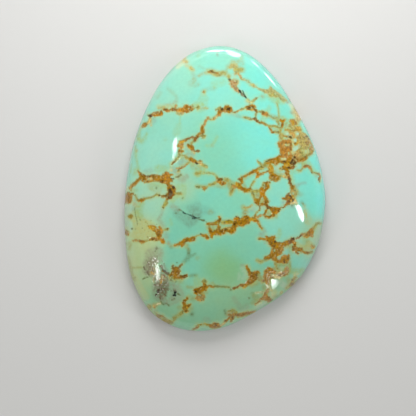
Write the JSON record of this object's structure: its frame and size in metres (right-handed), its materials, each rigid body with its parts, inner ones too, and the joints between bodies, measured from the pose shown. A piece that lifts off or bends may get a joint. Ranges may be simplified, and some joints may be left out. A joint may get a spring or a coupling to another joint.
{
  "type": "polished turquoise cabochon",
  "caption": "Free-form egg-shaped turquoise stone with a polished dome, a low ground wall and a flat ground back, veined with brown matrix.",
  "frame": {"origin": "centre of the outline's box, on the plane of the flat back", "axes": "+Y along the stone's long axis towards its narrow end, +X towards the fuller side as seen from the dome, +Z out of the dome"},
  "size_m": [0.0254, 0.036, 0.0062],
  "materials": {
    "turquoise": "polished blue-green turquoise with ochre-brown limonite matrix; the flat back is honed"
  },
  "bodies": {
    "root": {"turquoise_stone": "turquoise"}
  },
  "joints": []
}
